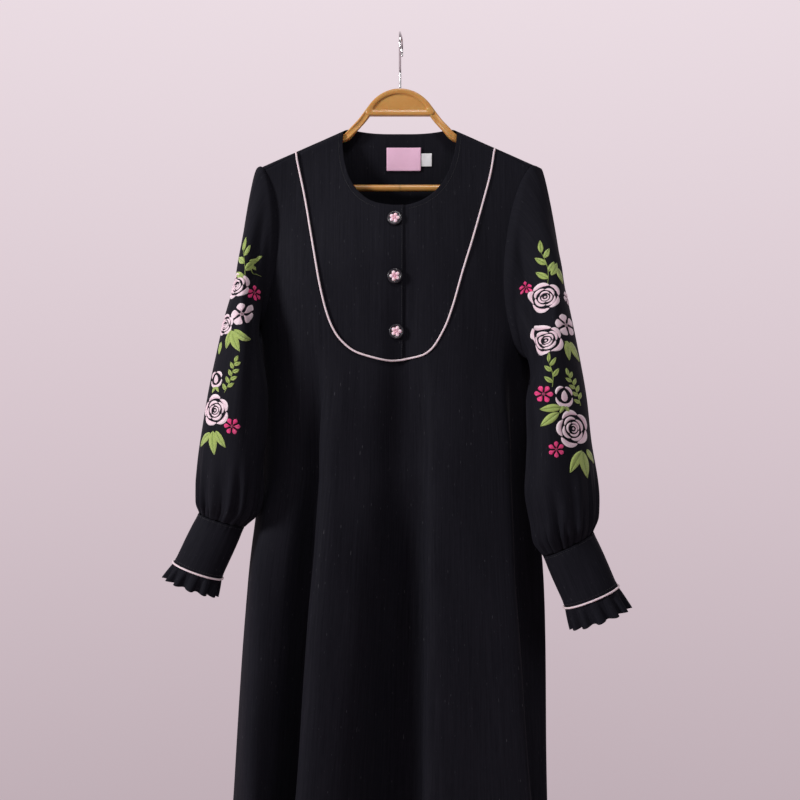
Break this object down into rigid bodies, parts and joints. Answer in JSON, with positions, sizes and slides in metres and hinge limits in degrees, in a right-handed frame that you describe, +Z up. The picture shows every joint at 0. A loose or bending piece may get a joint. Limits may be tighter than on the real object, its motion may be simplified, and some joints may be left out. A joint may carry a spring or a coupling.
{
  "type": "abaya on a hanger",
  "caption": "Long black crepe abaya with a curved piped bib, buttoned placket and frilled cuffs, hanging on an amber plastic hanger.",
  "frame": {"origin": "highest point inside the hook of the hanger, where it rests on the rail", "axes": "+Z up, the front of the garment faces -Y, +X to the viewer's right"},
  "size_m": [0.6541, 0.2173, 1.4931],
  "materials": {
    "crepe": "fine slubbed crepe, dull with a faint sheen",
    "piping": "satin bias piping",
    "button": "fabric-dark domed button",
    "flower": "small moulded flower",
    "pink_label": "woven satin",
    "white_label": "woven tape",
    "amber_plastic": "moulded, satin",
    "hook_wire": "bright plated wire"
  },
  "bodies": {
    "root": {"front_panel": "crepe", "back_panel": "crepe", "bib_right_half": "crepe", "bib_left_half": "crepe", "bib_piping": "piping", "sleeve_right": "crepe", "cuff_right": "crepe", "cuff_piping_right": "piping", "ruffle_right": "crepe", "sleeve_left": "crepe", "cuff_left": "crepe", "cuff_piping_left": "piping", "ruffle_left": "crepe", "button_1": "button", "button_1_flower": "flower", "button_2": "button", "button_2_flower": "flower", "button_3": "button", "button_3_flower": "flower", "size_label": "white_label", "neck_label": "pink_label", "hanger_body": "amber_plastic", "hanger_hook": "hook_wire"}
  },
  "joints": []
}
